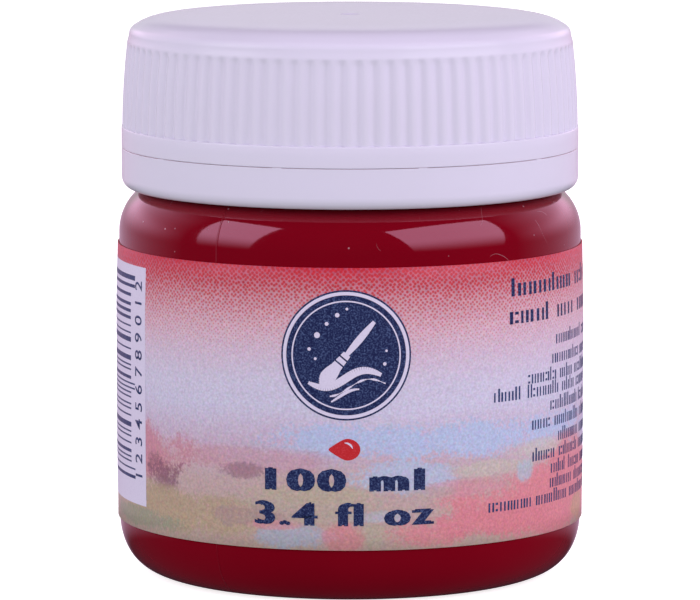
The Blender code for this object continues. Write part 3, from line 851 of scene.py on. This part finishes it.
# The bar panel on the left: a white block with bars laid like rungs and plain counting figures beside.
panel_left, panel_right, panel_low, panel_high = -47.0, -28.5, 9.5, 37.4
panel = blank("bar_panel")
bar((panel_left + panel_right) / 2, (panel_low + panel_high) / 2, panel_right - panel_left,
    panel_high - panel_low, cuts=24)
print_on_label(panel, white_ink)

bars = blank("bar_rungs")
bars_left, bars_right, guard_right = -44.5, -32.5, -31.3
bars_low, bars_high = 12.3, 36.3
widths = random.Random(5)
rung_count, rung_parts = 30, 8
guard_rungs = (0, 1, 14, 15, 28, 29)
rungs = [(widths.choice((1, 1, 2, 3)), widths.choice((1, 1, 2, 2))) for _ in range(rung_count)]
module = (bars_high - bars_low) / (sum(thick + gap for thick, gap in rungs) - rungs[-1][1])
rung_y = bars_low
for rung, (thick, gap) in enumerate(rungs):
    right = guard_right if rung in guard_rungs else bars_right
    share = (right - bars_left) / rung_parts
    for part in range(rung_parts):
        bar(bars_left + share * (part + 0.5), rung_y + module * thick / 2, share, module * thick * 0.70)
    rung_y += module * (thick + gap)
bpy.ops.mesh.select_all(action="SELECT")
bpy.ops.mesh.remove_doubles(threshold=0.002)
print_on_label(bars, slate_ink, lift=0.02)

figure_x, figure_tall, figure_step = -30.35, 1.9, 2.02
for count in range(12):
    bpy.ops.object.select_all(action="DESELECT")
    bpy.ops.object.text_add()
    figure = bpy.context.object
    figure.data.body = str((count + 1) % 10)
    figure.data.size = figure_tall * 1.35
    figure.data.offset = 0.012
    figure.data.resolution_u = 3
    bpy.ops.object.convert(target="MESH")
    figure = bpy.context.object
    figure.name = figure.data.name = f"panel_figure_{count + 1:02d}"
    for vertex in figure.data.vertices:
        x, y = vertex.co.x, vertex.co.y
        vertex.co.x, vertex.co.y = figure_x - y + figure_tall / 2, bars_low + figure_step * count + x
    print_on_label(figure, slate_ink, lift=0.02)

# ---------------------------------------------------------------------------------------------------
# The tamper band: the torn-off ring of the cap, moulded in the same pale polypropylene, with an inner lip
# that catches under the neck's bead and ten small bridges that reach up to the cap across the slit.
# ---------------------------------------------------------------------------------------------------

band_r, band_low_z, band_high_z, cap_low_z = 26.84, 45.5, 50.21, 50.26
band_outline = bow(band_r - 1.15, band_low_z + 1.4, 1.15, 1.4, -80, 0, 10)
band_outline += [(band_r, 48.4), (band_r, band_high_z - 0.05), (band_r - 0.05, band_high_z)]
band_outline += [(25.25, band_high_z), (25.2, 50.1), (25.2, 47.9)]
band_outline += [(24.15, 47.35), (24.1, 47.2), (24.1, 46.3)]
band_outline += [(24.4, 45.95), (24.9, band_low_z + 0.1), (25.4, band_low_z)]
band_outline += [band_outline[0]]
band = draw_out("tamper_band_ring", band_outline, 360)
bridge_first_deg, bridge_count = 18.0, 10
bridge_root = 0.4
bridge_tall = cap_low_z - band_high_z - 0.004 + bridge_root
bridge_mid_z = band_high_z - bridge_root + bridge_tall / 2
bridge_mid_r = (band_r - 0.56) * MM
for count in range(bridge_count):
    turn = math.radians(bridge_first_deg + 360 / bridge_count * count - 90)
    bpy.ops.object.select_all(action="DESELECT")
    bpy.ops.mesh.primitive_cube_add(size=1, rotation=(0, 0, turn))
    bridge = bpy.context.object
    bridge.scale = (1.1 * MM, 1.05 * MM, bridge_tall * MM)
    bridge.location = (bridge_mid_r * math.cos(turn), bridge_mid_r * math.sin(turn), bridge_mid_z * MM)
    bpy.ops.object.transform_apply(location=True, rotation=True, scale=True)
    join_to(band, bridge)
shade_round(band, 35)

# Polypropylene from a finely blasted mould: pale lilac white, satin, with soft light inside it. The grain
# is drawn 0.56 mm across, coarser than the blasting's own 0.1 mm or so, to show.
cap_plastic, tree, shader, spot = new_material("moulded_polypropylene")
drift = add_node(tree, "ShaderNodeTexNoise", {"Vector": spot, "Scale": every(22.2), "Detail": 3.0})
lilac = add_node(tree, "ShaderNodeMix", {
    0: drift, "A": linear("#d9d7e8"), "B": linear("#dedcef")}, data_type="RGBA")
blast = add_node(tree, "ShaderNodeTexNoise", {"Vector": spot, "Scale": every(0.556), "Detail": 2.0})
satin = add_node(tree, "ShaderNodeMapRange", {"Value": blast, "To Min": 0.17, "To Max": 0.21})
texture = add_node(tree, "ShaderNodeBump", {"Height": blast, "Distance": 0.01 * MM, "Strength": 0.10})
plug_in(tree, shader, {
    "Base Color": lilac, "Roughness": satin, "Normal": texture, "IOR": 1.49,
    "Specular Tint": (0.42, 0.54, 0.45, 1.0), "Subsurface Weight": 0.12,
    "Subsurface Radius": (1.0, 0.9, 1.0), "Subsurface Scale": 1.2 * MM})
# Where the score was cut the plastic is rough. Its faces across the slit are painted a darker rose than the
# cap: painted shade in the narrow slit, with the red of the paint bounced into it.
slit_painted_shade, tree, shader, spot = new_material("slit_faces_painted_shade")
slit_shade_mottle = add_node(tree, "ShaderNodeTexNoise", {"Vector": spot, "Scale": every(3.33), "Detail": 2.0})
slit_shade_tone = add_node(tree, "ShaderNodeMix", {
    0: slit_shade_mottle, "A": linear("#dcb4bf"), "B": linear("#e6cbd7")}, data_type="RGBA")
plug_in(tree, shader, {"Base Color": slit_shade_tone, "Roughness": 0.8})
band.data.materials.append(cap_plastic)
band.data.materials.append(slit_painted_shade)
# The band's top face under the slit gets the painted slit shade.
for face in band.data.polygons:
    if face.normal.z > 0.9 and face.center.z > (band_high_z - 0.03) * MM:
        face.material_index = 1
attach(band, "band")
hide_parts("tamper_band")

# ---------------------------------------------------------------------------------------------------
# The screw cap: pale polypropylene, moulded in one shot with a plain flange, 90 round-topped grip ribs,
# a tight shoulder and a barely domed top with the gate's small dimple, and the thread inside. It is drawn
# out with eight columns to a rib, and the grooves are pressed in column by column.
# ---------------------------------------------------------------------------------------------------

cap_top_z, flange_r, flange_top_z = 65.7, 26.84, 52.7
rib_count, rib_columns, rib_mid_r, groove_deep = 90, 8, 26.4, 0.31
rib_rows = [(26.75, 52.73), (26.75, 52.84), (26.74, 53.1), (26.70, 55.0), (26.55, 57.8)]
rib_rows += [(26.36, 60.2), (26.20, 61.7)]
rib_end_rows = [(26.17, 61.95), (26.15, 62.2), (26.13, 62.42), (26.11, 62.60)]
cap_bore_r, cap_ceiling_z = 25.0, 64.3
cap_outline = [(0.5, cap_ceiling_z), (23.6, cap_ceiling_z), (24.2, cap_ceiling_z - 0.2), (24.5, 63.7)]
cap_outline += [(24.95, 62.6), (cap_bore_r, 60.0), (cap_bore_r, 55.0), (cap_bore_r, 50.5)]
cap_outline += [(25.15, cap_low_z)]
cap_outline += [(flange_r - 0.06, cap_low_z), (flange_r, cap_low_z + 0.06), (flange_r, 51.5)]
cap_outline += [(flange_r, flange_top_z - 0.12), (flange_r - 0.03, flange_top_z - 0.03)]
cap_outline += [(flange_r - 0.08, flange_top_z)]
cap_outline += rib_rows + rib_end_rows
cap_outline += [(26.06, 62.80), (25.98, 63.05)]
cap_outline += bow(24.80, 63.45, 1.10, 1.10, 0, 62, 8)
cap_outline += [(24.7, 64.80), (24.0, 65.10), (23.3, 65.30), (22.6, 65.43), (21.6, 65.54), (20.2, 65.62)]
cap_outline += [(18.5, 65.67), (16.0, 65.69), (12.0, cap_top_z), (1.5, cap_top_z)]
cap_outline += [(1.2, cap_top_z), (1.05, cap_top_z - 0.03)]
cap_outline += [(0.9, cap_top_z - 0.12), (0.3, cap_top_z - 0.14)]
cap = draw_out("screw_cap_ribbed", cap_outline, rib_count * rib_columns)

column_deg = 360 / rib_count / rib_columns
# How deep each column lies, counted from the middle of a groove, and each row near the ribs' upper ends.
column_depths = {0: 1.0, 1: 0.82, 2: 0.44, 3: 0.12}
row_depths = [(61.85, 1.0), (62.10, 0.86), (62.32, 0.58), (62.52, 0.24)]


def column_of(x, y):
    """How many columns a point lies from the middle of the nearest groove."""
    column = round(math.degrees(math.atan2(y, x)) / column_deg) % rib_columns
    return min(column, rib_columns - column)


low_limit = flange_top_z + 0.01
for high_limit, row_depth in row_depths:
    for column, column_depth in column_depths.items():
        deep = groove_deep * row_depth * column_depth
        choose(cap, lambda x, y, z: (
            low_limit * MM < z < high_limit * MM and math.hypot(x, y) > 26 * MM
            and column_of(x, y) == column))
        resize_chosen(cap, 1 - deep / rib_mid_r)
    low_limit = high_limit
cap_ridge = thread_ridge("cap_ridge", cap_bore_r + 0.35, cap_bore_r + 0.05, 24.0, 53.7, thread_turns)
join_to(cap, cap_ridge)
shade_round(cap, 42)
cap.data.materials.append(cap_plastic)
cap.data.materials.append(slit_painted_shade)
# The cap's underside over the slit gets the painted slit shade.
for face in cap.data.polygons:
    if face.normal.z < -0.9 and face.center.z < (cap_low_z + 0.03) * MM:
        face.material_index = 1
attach(cap, "cap")
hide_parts("screw_cap")

# ---------------------------------------------------------------------------------------------------
# The cap liner: a disc of white closed-cell foam, 1 mm thick, with a smooth skin and die-cut edge. The
# neck's rim has pressed a shallow ring in its underside.
# ---------------------------------------------------------------------------------------------------

liner_low_z, liner_high_z, liner_r = 63.08, 64.12, 23.8
liner_outline = [(0.5, liner_low_z), (22.2, liner_low_z)]
liner_outline += [(22.6, liner_low_z + 0.12), (23.3, liner_low_z + 0.12)]
liner_outline += [(23.6, liner_low_z), (23.75, liner_low_z + 0.05), (liner_r, liner_low_z + 0.2)]
liner_outline += [(liner_r, liner_high_z - 0.1), (liner_r - 0.1, liner_high_z), (0.5, liner_high_z)]
liner = draw_out("foam_cap_liner", liner_outline, 160)
shade_round(liner, 40)
# Foam with a smooth skin: matt and off-white, pitted by the cells below it.
foam, tree, shader, spot = new_material("white_closed_cell_foam")
cells = add_node(tree, "ShaderNodeTexVoronoi", {"Vector": spot, "Scale": every(0.625)})
pale = add_node(tree, "ShaderNodeMix", {
    0: cells, "A": linear("#efece8"), "B": linear("#dedad6")}, data_type="RGBA")
pitted = add_node(tree, "ShaderNodeBump", {"Height": cells, "Distance": 0.1 * MM, "Strength": 0.5})
plug_in(tree, shader, {"Base Color": pale, "Roughness": 0.6, "Normal": pitted})
liner.data.materials.append(foam)
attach(liner, "liner")
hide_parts("cap_liner")
